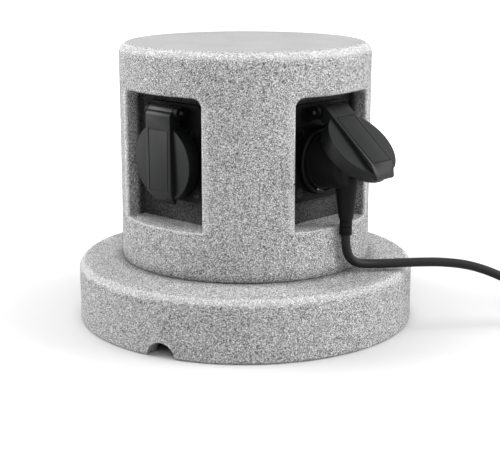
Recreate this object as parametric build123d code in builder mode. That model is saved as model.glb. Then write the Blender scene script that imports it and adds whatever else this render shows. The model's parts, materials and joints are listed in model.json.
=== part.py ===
from build123d import *
import math
import os

# A four-way garden socket: a round cast-stone column on a wider round plinth, with a pocket in
# each of its four sides. Each pocket holds a flanged mains socket with a sprung hinged lid. An
# angled plug stands in the right-hand socket, holds that lid up, and its lead runs down over the
# plinth to a coil on the ground.
# Millimetres, +Z up. The origin is the centre of the plinth's underside, on the ground.
# The front socket faces -Y. Each piece of a socket is drawn there and turned about Z into place.

# Overall
PLACES = {"front": 0, "right": 90, "back": 180, "left": 270}
PLUGGED = "right"
OVERRUN = 1.0
SLIP = 0.15
PIN_RUN = 0.08

# Plinth
PLINTH_R = 112.5
SEAT_Z = 42.5
SHOULDER_FALL = 2.0
PLINTH_ROUND = 6.0
PLINTH_FOOT_CHAMFER = 1.5
PLINTH_WALL = 12.5
PLINTH_ROOF = 14.5
PLINTH_INNER_ROUND = 5.0
PLINTH_HOLE_R = 45.0
TUNNEL_R = 10.0
TUNNEL_AZIMUTH = 15.8

# Column, and the pockets in it
COLUMN_R = 83.0
COLUMN_TOP_ROUND = 7.0
COLUMN_FOOT_ROUND = 1.5
COLUMN_ROOF = 13.0
CROWN = 28.0
POCKET_SILL = 31.3
POCKET_FOOT_ROOM = 13.8
POCKET_HEAD_ROOM = 6.5
POCKET_SIDE_ROOM = 8.75
POCKET_DEPTH = 22.5
POCKET_TOP_ROUND = 6.0
POCKET_EDGE_ROUND = 1.6
POCKET_WALL = 9.5
CORE_CORNER = 14.0
POCKET_LOW = SEAT_Z + POCKET_SILL
WALL_D = COLUMN_R - POCKET_DEPTH
CORE_HALF = WALL_D - POCKET_WALL

# Socket housing: flange, collar round the well, barrel behind, hinge bracket above
FLANGE = 50.0
FLANGE_CORNER = 4.0
FLANGE_THICK = 4.0
FLANGE_SEAL_THICK = 1.0
SCREW_PITCH = 38.0
SCREW_R = 1.6
SCREW_HEAD_R = 3.2
SCREW_SLOT = 0.8
SCREW_BITE = 7.0
WELL_R = 19.7
WELL_DEPTH = 17.5
COLLAR_WALL = 2.3
COLLAR_HEIGHT = 4.5
COLLAR_CHAMFER = 0.8
CARRIER_STEP = 0.7
BARREL_WALL = 1.7
BARREL_LENGTH = 21.5
FLANGE_BACK_D = WALL_D + FLANGE_SEAL_THICK
FLANGE_D = FLANGE_BACK_D + FLANGE_THICK
COLLAR_R = WELL_R + COLLAR_WALL
COLLAR_D = FLANGE_D + COLLAR_HEIGHT
WELL_D = COLLAR_D - WELL_DEPTH
CARRIER_R = WELL_R + CARRIER_STEP
BARREL_R = CARRIER_R + SLIP + BARREL_WALL
BARREL_D = FLANGE_BACK_D - BARREL_LENGTH
WINDOW_R = BARREL_R + 2 * SLIP

# Lid: a cup over the collar, its face sloping, and a raised strip from the hinge to below the cup
CUP_GAP = 0.8
CUP_WALL = 1.8
CUP_RIM_GAP = 1.8
CUP_RIM_CHAMFER = 0.6
CUP_FLOOR_GAP = 2.8
CUP_TOP_THICK = 4.5
CUP_FOOT_THICK = 2.2
HINGE_OVER_CUP = 7.4
HINGE_OUT = 7.0
KNUCKLE_R = 4.4
STRIP_WIDTH = 21.8
STRIP_FRONT = 6.5
STRIP_BACK = 0.5
STRIP_NECK = 2.5
STRIP_OVERHANG = 1.8
STRIP_BEVEL_DEPTH = 5.4
STRIP_BEVEL_HEIGHT = 8.4
STRIP_FOOT_WIDTH = 16.6
STRIP_HEAD_DROP = 3.4
STRIP_HEAD_ROUND = 3.5
PANEL_MARGIN = 2.2
PANEL_HEAD = 11.0
PANEL_GROOVE = 0.5
PANEL_GROOVE_DEPTH = 0.4
LID_SEAL_THICK = 2.5
LID_SEAL_WIDTH = 2.4
LID_OPEN_ANGLE = 50.0
CUP_R = COLLAR_R + CUP_GAP + CUP_WALL
SOCKET_Z = POCKET_LOW + POCKET_FOOT_ROOM + STRIP_OVERHANG + CUP_R
CUP_RIM_D = FLANGE_D + CUP_RIM_GAP
CUP_FLOOR_D = COLLAR_D + CUP_FLOOR_GAP
HINGE_Z = SOCKET_Z + CUP_R + HINGE_OVER_CUP
HINGE_D = FLANGE_D + HINGE_OUT
STRIP_D = HINGE_D + STRIP_FRONT
STRIP_LOW = SOCKET_Z - CUP_R - STRIP_OVERHANG

# Hinge: bracket and ears on the housing, pin, and a lid spring of square wire
BRACKET_OVER_HINGE = 4.5
BRACKET_ROUND = 5.0
EAR_R = 4.2
EAR_THICK = 3.1
EAR_GAP = 0.5
EAR_DROP = 7.0
PIN_R = 1.25
PIN_HOLD = 0.02
WIRE = 0.8
SPRING_R = 2.35
SPRING_TURNS = 2
SPRING_PITCH = 1.7
SPRING_LEG = 5.0
SPRING_ROOM = 0.35
EAR_FACE = STRIP_WIDTH / 2 + EAR_GAP
BRACKET_HALF = EAR_FACE + EAR_THICK
BRACKET_TOP = HINGE_Z + BRACKET_OVER_HINGE
POCKET_HIGH = BRACKET_TOP + POCKET_HEAD_ROOM
POCKET_WIDTH = FLANGE + 2 * POCKET_SIDE_ROOM
COLUMN_TOP = POCKET_HIGH + CROWN
SLOT_HALF = SPRING_PITCH * (SPRING_TURNS + 1) / 2 + WIRE
SLOT_R = SPRING_R + WIRE / 2 + SPRING_ROOM
SLOT_LOW = SPRING_LEG + WIRE + SPRING_ROOM
SLOT_BACK = HINGE_OUT

# Contacts in the socket
PIN_SPACING = 19.0
PLUG_PIN_R = 2.4
PIN_HOLE_R = 2.9
CARRIER_FLANGE = 6.5
CARRIER_LENGTH = 20.5
CARRIER_REAR_R = 16.0
CHAMBER_R = 4.0
CHAMBER_COVER = 2.5
CONTACT_INSET = 1.0
CONTACT_R = 3.7
CONTACT_LENGTH = 15.3
CONTACT_SLIT = 1.0
CONTACT_BASE = 1.0
CLIP_WIDTH = 6.0
CLIP_THICK = 0.8
CLIP_GAP = 0.35
CLIP_REACH = 13.5
CLIP_GROOVE = 1.0
CLIP_R = WELL_R - CLIP_GAP
CARRIER_REAR_D = WELL_D - CARRIER_LENGTH

# Closing plate in a rebate under the column, its seal and screws, and the supply gland
REBATE_STEP = 6.0
REBATE_CORNER = 16.0
PLATE_THICK = 3.0
PLATE_SEAL_THICK = 1.0
PLATE_SCREW_BITE = 8.0
GLAND_THREAD_R = 10.0
GLAND_BORE_R = 5.0
GLAND_THREAD_ABOVE = 8.0
GLAND_HEX_R = 13.5
GLAND_HEX_THICK = 5.0
GLAND_NUT_THICK = 5.0
GLAND_DOME_LENGTH = 17.0
GLAND_DOME_R = 12.0
GLAND_MOUTH_R = 8.0
GLAND_SEAL_R = 8.5
GLAND_SEAL_LENGTH = 10.0
REBATE_HALF = CORE_HALF + REBATE_STEP
PLATE_HALF = REBATE_HALF - SLIP
GLAND_HEX_Z = SEAT_Z - GLAND_HEX_THICK
CORNER_SHARE = math.sqrt(2) / 2
CORE_REACH = CORE_HALF - CORE_CORNER + CORE_CORNER * CORNER_SHARE
REBATE_REACH = REBATE_HALF - REBATE_CORNER + REBATE_CORNER * CORNER_SHARE
PLATE_SCREW_AT = (CORE_REACH + REBATE_REACH) / 2

# Bolts from the plinth up into brass inserts in the column's foot
BOLT_R = 2.5
BOLT_GAP = 0.3
BOLT_HEAD_R = 4.6
BOLT_HEAD_THICK = 3.5
BOLT_BITE = 11.0
INSERT_R = 4.0
INSERT_LENGTH = 13.0
BOLT_AT = (REBATE_HALF + COLUMN_R) / 2

# Terminal block over the gland, and the socket leads
BLOCK_LENGTH = 46.0
BLOCK_WIDTH = 36.0
BLOCK_HEIGHT = 18.0
BLOCK_FOOT = 6.0
BLOCK_STEP = 5.0
BLOCK_FOOT_HEIGHT = 16.0
TERMINAL_PITCH = 13.0
TERMINAL_SCREW_R = 2.2
TERMINAL_SCREW_THICK = 2.0
LEAD_R = 3.0
LEAD_TURN_D = 10.0
LEAD_BEND_SHARE = 0.41
LEAD_BEND = LEAD_BEND_SHARE * (CARRIER_REAR_D - LEAD_TURN_D)
BLOCK_LOW = SEAT_Z + PLATE_THICK + BLOCK_FOOT_HEIGHT
BLOCK_HIGH = BLOCK_LOW + BLOCK_HEIGHT

# Plug, in the right-hand socket
PLUG_NOSE_GAP = 1.0
PLUG_NOSE_SLIP = 1.4
PLUG_SHOULDER = 1.0
PLUG_BODY_STEP = 1.9
PLUG_BODY_LENGTH = 22.0
PLUG_BACK_ROUND = 4.5
STEM_SET = 5.6
STEM_TOP_DROP = 8.0
STEM_LENGTH = 26.8
STEM_TOP_R = 7.8
STEM_FOOT_R = 4.6
PLUG_PIN_LENGTH = 19.0
EARTH_PAD_WIDTH = 5.6
EARTH_PAD_THICK = 0.8
SLEEVE_R = 4.0
SLEEVE_LENGTH = 10.4
SLEEVE_GROOVE = 0.7
SLEEVE_GROOVES = 3
PLUG_NOSE_R = WELL_R - PLUG_NOSE_SLIP
PLUG_BODY_R = PLUG_NOSE_R - PLUG_BODY_STEP
NOSE_D = WELL_D + PLUG_NOSE_GAP
SHOULDER_D = COLLAR_D + PLUG_SHOULDER
PLUG_BACK_D = SHOULDER_D + PLUG_BODY_LENGTH
STEM_D = PLUG_BACK_D - STEM_SET
STEM_TOP_Z = SOCKET_Z - STEM_TOP_DROP
STEM_FOOT_Z = STEM_TOP_Z - STEM_LENGTH
SLEEVE_FOOT_Z = STEM_FOOT_Z - SLEEVE_LENGTH

# Cord: its free route from the sleeve to the coil, the coil on the ground, and the tail
CORD_R = 3.0
CORD_SIDES = 8
RUN_SHARE = 0.45
CORD_ROUTE = [
    (87.4, 0.0, 68.8),
    (87.4, 0.0, 57.5),
    (89.0, 7.1, 48.8),
    (92.9, 19.7, 46.6),
    (100.7, 33.3, 45.8),
    (109.9, 46.8, 45.6),
    (119.8, 61.0, 44.8),
    (130.9, 75.6, 42.0),
    (142.6, 89.4, 35.5),
    (154.0, 102.1, 26.2),
    (164.2, 113.1, 16.5),
    (174.0, 123.1, 8.0),
    (183.3, 132.2, 3.05),
    (192.47, 140.84, 3.05),
]
COIL_R = 41.0
COIL_PITCH = 6.6
COIL_IN_HALVES = 5
COIL_OUT_HALVES = 4
CORD_TAIL = [
    (207.23, 163.82, 9.65),
    (214.0, 176.8, 9.3),
    (215.6, 192.0, 7.9),
    (212.2, 206.4, 7.9),
]

# Coupler on the far end of the cord
COUPLER_R = 6.2
COUPLER_LENGTH = 32.0
COUPLER_NECK_R = 4.2
COUPLER_NECK_LENGTH = 9.0
RING_WALL = 1.3
RING_LENGTH = 12.0
RING_RIBS = 12
RING_RIB_R = 0.9
RING_OVERHANG = 1.0
RING_R = COUPLER_R + SLIP + RING_WALL


def facing(distance, height=SOCKET_Z, azimuth=0.0):
    """A plane square to a socket's axis, its normal out of the column and its Y axis up."""
    out = Vector(0, -1, 0).rotate(Axis.Z, azimuth)
    along = Vector(1, 0, 0).rotate(Axis.Z, azimuth)
    return Plane(origin=out * distance + Vector(0, 0, height), x_dir=along, z_dir=out)


# The front socket seen from its side: X is the distance out from the column's axis, Y is height
SIDE = Plane(origin=(0, 0, 0), x_dir=(0, -1, 0), z_dir=(-1, 0, 0))
HINGE = Axis((0, -HINGE_D, HINGE_Z), (-1, 0, 0))
PIN_PLACES = [(-PIN_SPACING / 2, 0), (PIN_SPACING / 2, 0)]
FLANGE_SCREWS = [(x * SCREW_PITCH / 2, z * SCREW_PITCH / 2) for x in (-1, 1) for z in (-1, 1)]
PLATE_SCREWS = [(x * PLATE_SCREW_AT, y * PLATE_SCREW_AT) for x in (-1, 1) for y in (-1, 1)]
BOLTS = [(BOLT_AT, 0), (0, BOLT_AT), (-BOLT_AT, 0), (0, -BOLT_AT)]

os.makedirs("parts", exist_ok=True)


def write_four(piece, name):
    """One node for the piece in each of the four sockets."""
    for place, azimuth in PLACES.items():
        turned = piece.rotate(Axis.Z, azimuth)
        turned.label = f"{name}_{place}"
        export_step(turned, f"parts/{name}_{place}.step")


def write_group(piece, name):
    """One node that holds the piece in all four sockets as separate solids."""
    solids = []
    for azimuth in PLACES.values():
        solids += piece.rotate(Axis.Z, azimuth).solids()
    group = Compound(children=solids)
    group.label = name
    export_step(group, f"parts/{name}.step")


# Plinth: a turned casting, hollow below, its shoulder falling outwards to shed rain
PLINTH_ROOF_Z = SEAT_Z - PLINTH_ROOF
PLINTH_INNER_R = PLINTH_R - PLINTH_WALL
with BuildPart() as plinth:
    with BuildSketch(Plane.XZ) as plinth_section:
        with BuildLine():
            Polyline(
                (PLINTH_HOLE_R, PLINTH_ROOF_Z),
                (PLINTH_INNER_R, PLINTH_ROOF_Z),
                (PLINTH_INNER_R, 0),
                (PLINTH_R, 0),
                (PLINTH_R, SEAT_Z - SHOULDER_FALL),
                (COLUMN_R, SEAT_Z),
                (PLINTH_HOLE_R, SEAT_Z),
                close=True,
            )
        make_face()
        outer = plinth_section.vertices().group_by(Axis.X)[-1].sort_by(Axis.Y)
        fillet(outer[-1], PLINTH_ROUND)
        chamfer(plinth_section.vertices().group_by(Axis.X)[-1].sort_by(Axis.Y)[0], PLINTH_FOOT_CHAMFER)
        ceiling = plinth_section.vertices().filter_by_position(
            Axis.X, PLINTH_INNER_R - SLIP, PLINTH_INNER_R + SLIP
        )
        fillet(ceiling.sort_by(Axis.Y)[-1], PLINTH_INNER_ROUND)
    revolve(axis=Axis.Z)
    with BuildSketch(facing(PLINTH_INNER_R - PLINTH_WALL, 0, TUNNEL_AZIMUTH)):
        Circle(TUNNEL_R)
    extrude(amount=2 * PLINTH_WALL + OVERRUN, mode=Mode.SUBTRACT)
    with BuildSketch(Plane.XY.offset(PLINTH_ROOF_Z)):
        with Locations(*BOLTS):
            Circle(BOLT_R + BOLT_GAP)
    extrude(amount=PLINTH_ROOF + OVERRUN, mode=Mode.SUBTRACT)
    with BuildSketch(Plane.XY.offset(PLINTH_ROOF_Z)):
        with Locations(*BOLTS):
            Circle(BOLT_HEAD_R + BOLT_GAP)
    extrude(amount=BOLT_HEAD_THICK, mode=Mode.SUBTRACT)
plinth.part.label = "plinth"
export_step(plinth.part, "parts/plinth.step")


def on_opening(edge):
    """Whether an edge is where a pocket breaks through the column's round skin."""
    point = edge @ 0.5
    on_skin = abs(math.hypot(point.X, point.Y) - COLUMN_R) < SLIP
    return on_skin and POCKET_LOW - SLIP < point.Z < POCKET_HIGH + SLIP


# Column: a round casting round a square core, with four pockets and a rebate under its foot
with BuildPart() as column:
    with BuildSketch(Plane.XY.offset(SEAT_Z)):
        Circle(COLUMN_R)
    extrude(amount=COLUMN_TOP - SEAT_Z)
    fillet(column.edges().group_by(Axis.Z)[-1], COLUMN_TOP_ROUND)
    fillet(column.edges().group_by(Axis.Z)[0], COLUMN_FOOT_ROUND)
    for azimuth in PLACES.values():
        with BuildSketch(facing(WALL_D, (POCKET_LOW + POCKET_HIGH) / 2, azimuth)) as opening:
            Rectangle(POCKET_WIDTH, POCKET_HIGH - POCKET_LOW)
            fillet(opening.vertices().group_by(Axis.Y)[-1], POCKET_TOP_ROUND)
        extrude(amount=POCKET_DEPTH + OVERRUN, mode=Mode.SUBTRACT)
    fillet(column.edges().filter_by(on_opening), POCKET_EDGE_ROUND)
    with BuildSketch(Plane.XY.offset(SEAT_Z)):
        RectangleRounded(2 * CORE_HALF, 2 * CORE_HALF, CORE_CORNER)
    extrude(amount=COLUMN_TOP - COLUMN_ROOF - SEAT_Z, mode=Mode.SUBTRACT)
    with BuildSketch(Plane.XY.offset(SEAT_Z)):
        RectangleRounded(2 * REBATE_HALF, 2 * REBATE_HALF, REBATE_CORNER)
    extrude(amount=PLATE_THICK + PLATE_SEAL_THICK, mode=Mode.SUBTRACT)
    for azimuth in PLACES.values():
        with BuildSketch(facing(WALL_D, SOCKET_Z, azimuth)):
            Circle(WINDOW_R)
        extrude(amount=-POCKET_WALL - OVERRUN, mode=Mode.SUBTRACT)
        with BuildSketch(facing(WALL_D, SOCKET_Z, azimuth)):
            with Locations(*FLANGE_SCREWS):
                Circle(SCREW_R + SLIP)
        extrude(amount=-SCREW_BITE - OVERRUN, mode=Mode.SUBTRACT)
    with BuildSketch(Plane.XY.offset(SEAT_Z)):
        with Locations(*BOLTS):
            Circle(INSERT_R)
    extrude(amount=INSERT_LENGTH, mode=Mode.SUBTRACT)
    with BuildSketch(Plane.XY.offset(SEAT_Z)):
        with Locations(*PLATE_SCREWS):
            Circle(SCREW_R + SLIP)
    extrude(amount=PLATE_THICK + PLATE_SEAL_THICK + PLATE_SCREW_BITE + OVERRUN, mode=Mode.SUBTRACT)

# The casting is parted on flat joints into foot, crown, corner posts and pocket walls
JAMB = POCKET_WIDTH / 2
POST_HIGH = POCKET_HIGH - POCKET_TOP_ROUND
with BuildPart() as column_foot:
    add(column.part)
    split(bisect_by=Plane.XY.offset(POCKET_LOW), keep=Keep.BOTTOM)
column_foot.part.label = "column_foot"
export_step(column_foot.part, "parts/column_foot.step")

with BuildPart() as column_crown:
    add(column.part)
    split(bisect_by=Plane.XY.offset(POST_HIGH), keep=Keep.TOP)
column_crown.part.label = "column_crown"
export_step(column_crown.part, "parts/column_crown.step")

with BuildPart() as column_side:
    add(column.part)
    split(bisect_by=Plane.XY.offset(POCKET_LOW), keep=Keep.TOP)
    split(bisect_by=Plane.XY.offset(POST_HIGH), keep=Keep.BOTTOM)
    split(bisect_by=Plane.XZ.offset(JAMB), keep=Keep.TOP)
with BuildPart() as column_post:
    add(column_side.part)
    split(bisect_by=Plane.YZ.offset(JAMB), keep=Keep.TOP)
write_group(column_post.part, "column_posts")

with BuildPart() as pocket_wall:
    add(column_side.part)
    split(bisect_by=Plane.YZ.offset(JAMB), keep=Keep.BOTTOM)
    split(bisect_by=Plane.YZ.offset(-JAMB), keep=Keep.TOP)
write_group(pocket_wall.part, "pocket_walls")

# Brass inserts cast into the column's foot, and the bolts that hold it down on the plinth
with BuildPart() as inserts:
    with BuildSketch(Plane.XY.offset(SEAT_Z)):
        with Locations(*BOLTS):
            Circle(INSERT_R)
            Circle(BOLT_R + SLIP / 2, mode=Mode.SUBTRACT)
    extrude(amount=INSERT_LENGTH)
inserts.part.label = "column_inserts"
export_step(inserts.part, "parts/column_inserts.step")

with BuildPart() as bolts:
    with BuildSketch(Plane.XY.offset(PLINTH_ROOF_Z)):
        with Locations(*BOLTS):
            RegularPolygon(BOLT_HEAD_R, 6)
    extrude(amount=BOLT_HEAD_THICK)
    with BuildSketch(Plane.XY.offset(PLINTH_ROOF_Z + BOLT_HEAD_THICK)):
        with Locations(*BOLTS):
            Circle(BOLT_R)
    extrude(amount=PLINTH_ROOF - BOLT_HEAD_THICK + BOLT_BITE)
bolts.part.label = "column_bolts"
export_step(bolts.part, "parts/column_bolts.step")

# Closing plate under the column, with its seal and countersunk screws
with BuildPart() as closing_plate:
    with BuildSketch(Plane.XY.offset(SEAT_Z)):
        RectangleRounded(2 * PLATE_HALF, 2 * PLATE_HALF, REBATE_CORNER)
        Circle(GLAND_THREAD_R + SLIP, mode=Mode.SUBTRACT)
    extrude(amount=PLATE_THICK)
    with Locations(*[Plane.XY.rotated((180, 0, 0)).offset(-SEAT_Z).location]):
        with Locations(*PLATE_SCREWS):
            CounterSinkHole(SCREW_R + SLIP, SCREW_HEAD_R + SLIP, PLATE_THICK)
closing_plate.part.label = "closing_plate"
export_step(closing_plate.part, "parts/closing_plate.step")

with BuildPart() as plate_seal:
    with BuildSketch(Plane.XY.offset(SEAT_Z + PLATE_THICK)):
        RectangleRounded(2 * PLATE_HALF, 2 * PLATE_HALF, REBATE_CORNER)
        RectangleRounded(2 * CORE_HALF, 2 * CORE_HALF, CORE_CORNER, mode=Mode.SUBTRACT)
        with Locations(*PLATE_SCREWS):
            Circle(SCREW_R + SLIP, mode=Mode.SUBTRACT)
    extrude(amount=PLATE_SEAL_THICK)
plate_seal.part.label = "closing_plate_seal"
export_step(plate_seal.part, "parts/closing_plate_seal.step")

with BuildPart() as plate_screws:
    with BuildSketch(Plane.XY.offset(SEAT_Z)):
        with Locations(*PLATE_SCREWS):
            Circle(SCREW_R)
    extrude(amount=PLATE_THICK + PLATE_SEAL_THICK + PLATE_SCREW_BITE)
    with Locations(*[(x, y, SEAT_Z) for x, y in PLATE_SCREWS]):
        Cone(
            SCREW_HEAD_R,
            SCREW_R,
            SCREW_HEAD_R - SCREW_R,
            align=(Align.CENTER, Align.CENTER, Align.MIN),
        )
plate_screws.part.label = "closing_plate_screws"
export_step(plate_screws.part, "parts/closing_plate_screws.step")

# Supply gland through the closing plate: body, lock nut, sealing sleeve and dome nut
with BuildPart() as gland_body:
    with BuildSketch(Plane.XY.offset(GLAND_HEX_Z)):
        RegularPolygon(GLAND_HEX_R, 6)
        Circle(GLAND_BORE_R, mode=Mode.SUBTRACT)
    extrude(amount=GLAND_HEX_THICK)
    with BuildSketch(Plane.XY.offset(SEAT_Z)):
        Circle(GLAND_THREAD_R)
        Circle(GLAND_BORE_R, mode=Mode.SUBTRACT)
    extrude(amount=GLAND_THREAD_ABOVE + PLATE_THICK)
gland_body.part.label = "gland_body"
export_step(gland_body.part, "parts/gland_body.step")

with BuildPart() as gland_nut:
    with BuildSketch(Plane.XY.offset(SEAT_Z + PLATE_THICK)):
        RegularPolygon(GLAND_HEX_R, 6)
        Circle(GLAND_THREAD_R + SLIP / 2, mode=Mode.SUBTRACT)
    extrude(amount=GLAND_NUT_THICK)
gland_nut.part.label = "gland_lock_nut"
export_step(gland_nut.part, "parts/gland_lock_nut.step")

GLAND_SEAL_Z = GLAND_HEX_Z - GLAND_SEAL_LENGTH
GLAND_MOUTH_Z = GLAND_HEX_Z - GLAND_DOME_LENGTH
with BuildPart() as gland_seal:
    with BuildSketch(Plane.XY.offset(GLAND_SEAL_Z)):
        Circle(GLAND_SEAL_R)
        Circle(GLAND_BORE_R, mode=Mode.SUBTRACT)
    extrude(amount=GLAND_SEAL_LENGTH)
gland_seal.part.label = "gland_seal"
export_step(gland_seal.part, "parts/gland_seal.step")

with BuildPart() as gland_dome:
    with BuildSketch(Plane.XZ):
        with BuildLine():
            Polyline(
                (GLAND_SEAL_R + SLIP, GLAND_HEX_Z),
                (GLAND_DOME_R, GLAND_HEX_Z),
                (GLAND_DOME_R, GLAND_SEAL_Z),
                (GLAND_MOUTH_R, GLAND_MOUTH_Z),
                (GLAND_BORE_R + SLIP, GLAND_MOUTH_Z),
                (GLAND_BORE_R + SLIP, GLAND_SEAL_Z),
                (GLAND_SEAL_R + SLIP, GLAND_SEAL_Z),
                close=True,
            )
        make_face()
    revolve(axis=Axis.Z)
gland_dome.part.label = "gland_dome_nut"
export_step(gland_dome.part, "parts/gland_dome_nut.step")

# Terminal block on two feet over the gland, its screws, and a lead from each socket
with BuildPart() as terminal_block:
    with BuildSketch(Plane.XY.offset(BLOCK_LOW)):
        Rectangle(BLOCK_LENGTH, BLOCK_WIDTH)
    extrude(amount=BLOCK_HEIGHT - BLOCK_STEP)
    with BuildSketch(Plane.XY.offset(BLOCK_LOW)):
        Rectangle(BLOCK_LENGTH, BLOCK_WIDTH - 4 * TERMINAL_SCREW_R)
    extrude(amount=BLOCK_HEIGHT)
    with BuildSketch(Plane.XY.offset(SEAT_Z + PLATE_THICK)):
        with GridLocations(BLOCK_LENGTH - BLOCK_FOOT, 0, 2, 1):
            Rectangle(BLOCK_FOOT, BLOCK_WIDTH)
    extrude(amount=BLOCK_FOOT_HEIGHT)
terminal_block.part.label = "terminal_block"
export_step(terminal_block.part, "parts/terminal_block.step")

with BuildPart() as terminal_screws:
    with BuildSketch(Plane.XY.offset(BLOCK_HIGH - BLOCK_STEP)):
        with GridLocations(TERMINAL_PITCH, BLOCK_WIDTH - 2 * TERMINAL_SCREW_R, 3, 2):
            RegularPolygon(TERMINAL_SCREW_R - SLIP, 8)
    extrude(amount=TERMINAL_SCREW_THICK)
terminal_screws.part.label = "terminal_screws"
export_step(terminal_screws.part, "parts/terminal_screws.step")

with BuildPart() as socket_lead:
    with BuildLine() as lead_path:
        FilletPolyline(
            (0, -CARRIER_REAR_D, SOCKET_Z),
            (0, -LEAD_TURN_D, SOCKET_Z),
            (0, -LEAD_TURN_D, BLOCK_HIGH),
            radius=LEAD_BEND,
        )
    with BuildSketch(Plane(origin=lead_path.line @ 0, z_dir=lead_path.line % 0)):
        RegularPolygon(LEAD_R, CORD_SIDES)
    sweep()
write_group(socket_lead.part, "socket_leads")

# Socket housing: square flange, collar and well, barrel behind, hinge bracket and ears above
with BuildPart() as housing:
    with BuildSketch(facing(FLANGE_BACK_D)):
        RectangleRounded(FLANGE, FLANGE, FLANGE_CORNER)
    extrude(amount=FLANGE_THICK)
    with BuildSketch(facing(FLANGE_BACK_D, 0)) as bracket:
        bracket_low = SOCKET_Z + FLANGE / 2 - FLANGE_CORNER
        with Locations((0, (BRACKET_TOP + bracket_low) / 2)):
            Rectangle(FLANGE, BRACKET_TOP - bracket_low)
        fillet(bracket.vertices().group_by(Axis.Y)[-1], BRACKET_ROUND)
    extrude(amount=FLANGE_THICK)
    for side in (-1, 1):
        with BuildSketch(SIDE.offset(side * EAR_FACE)):
            with BuildLine():
                Polyline(
                    (FLANGE_D, HINGE_Z - EAR_DROP),
                    (HINGE_D + EAR_R, HINGE_Z),
                    (HINGE_D, HINGE_Z + EAR_R),
                    (FLANGE_D, BRACKET_TOP - BRACKET_ROUND / 2),
                    close=True,
                )
            make_face()
            with Locations((HINGE_D, HINGE_Z)):
                Circle(EAR_R)
                Circle(PIN_R + PIN_HOLD, mode=Mode.SUBTRACT)
        extrude(amount=side * EAR_THICK)
    with BuildSketch(facing(BARREL_D)):
        Circle(BARREL_R)
    extrude(amount=BARREL_LENGTH)
    with BuildSketch(facing(FLANGE_D)):
        Circle(COLLAR_R)
    extrude(amount=COLLAR_HEIGHT - COLLAR_CHAMFER)
    with Locations(facing(COLLAR_D - COLLAR_CHAMFER).location):
        Cone(
            COLLAR_R,
            COLLAR_R - COLLAR_CHAMFER,
            COLLAR_CHAMFER,
            align=(Align.CENTER, Align.CENTER, Align.MIN),
        )
    with BuildSketch(facing(WELL_D)):
        Circle(WELL_R)
    extrude(amount=WELL_DEPTH, mode=Mode.SUBTRACT)
    with BuildSketch(facing(WELL_D)):
        Circle(CARRIER_R + SLIP)
    extrude(amount=BARREL_D - WELL_D, mode=Mode.SUBTRACT)
    with Locations(facing(FLANGE_D).location):
        with Locations(*FLANGE_SCREWS):
            CounterSinkHole(SCREW_R + SLIP, SCREW_HEAD_R + SLIP, FLANGE_THICK)
write_four(housing.part, "socket_housing")

# Flange seal between the flange and the stone, and the countersunk screws
with BuildPart() as flange_seal:
    with BuildSketch(facing(WALL_D)):
        RectangleRounded(FLANGE, FLANGE, FLANGE_CORNER)
        Circle(WINDOW_R, mode=Mode.SUBTRACT)
        with Locations(*FLANGE_SCREWS):
            Circle(SCREW_R + SLIP, mode=Mode.SUBTRACT)
    extrude(amount=FLANGE_SEAL_THICK)
write_group(flange_seal.part, "flange_seals")

SCREW_FACE_D = FLANGE_D - SLIP
with BuildPart() as flange_screws:
    with BuildSketch(facing(WALL_D - SCREW_BITE)):
        with Locations(*FLANGE_SCREWS):
            Circle(SCREW_R)
    extrude(amount=SCREW_FACE_D - WALL_D + SCREW_BITE)
    with Locations(facing(SCREW_FACE_D).location):
        with Locations(*FLANGE_SCREWS):
            Cone(
                SCREW_R,
                SCREW_HEAD_R,
                SCREW_HEAD_R - SCREW_R,
                align=(Align.CENTER, Align.CENTER, Align.MAX),
            )
            Box(
                2 * SCREW_HEAD_R,
                SCREW_SLOT,
                SCREW_SLOT,
                align=(Align.CENTER, Align.CENTER, Align.MAX),
                mode=Mode.SUBTRACT,
            )
write_group(flange_screws.part, "flange_screws")

# Contact carrier that closes the well, with its two contacts and the earth clip
with BuildPart() as carrier:
    with BuildSketch(facing(WELL_D)):
        Circle(CARRIER_R)
    extrude(amount=-CARRIER_FLANGE)
    with BuildSketch(facing(WELL_D)):
        Circle(CARRIER_REAR_R)
    extrude(amount=-CARRIER_LENGTH)
    with BuildSketch(facing(WELL_D)):
        Rectangle(CLIP_WIDTH + 2 * SLIP, 2 * CARRIER_R)
    extrude(amount=-CLIP_GROOVE, mode=Mode.SUBTRACT)
    with BuildSketch(facing(WELL_D)):
        with Locations(*PIN_PLACES):
            Circle(PIN_HOLE_R)
    extrude(amount=-CHAMBER_COVER, mode=Mode.SUBTRACT)
    with BuildSketch(facing(WELL_D - CHAMBER_COVER)):
        with Locations(*PIN_PLACES):
            Circle(CHAMBER_R)
    extrude(amount=CHAMBER_COVER - CARRIER_LENGTH, mode=Mode.SUBTRACT)
write_four(carrier.part, "contact_carrier")

with BuildPart() as line_contacts:
    with BuildSketch(facing(WELL_D - CHAMBER_COVER - CONTACT_INSET)):
        with Locations(*PIN_PLACES):
            Circle(CONTACT_R)
            Circle(PLUG_PIN_R + SLIP, mode=Mode.SUBTRACT)
            Rectangle(CONTACT_SLIT, 2 * CHAMBER_R, mode=Mode.SUBTRACT)
    extrude(amount=-CONTACT_LENGTH)
    with BuildSketch(facing(WELL_D - CHAMBER_COVER - CONTACT_INSET - CONTACT_LENGTH)):
        with Locations(*PIN_PLACES):
            Circle(CONTACT_R)
    extrude(amount=-CONTACT_BASE)
write_group(line_contacts.part, "line_contacts")

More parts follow.
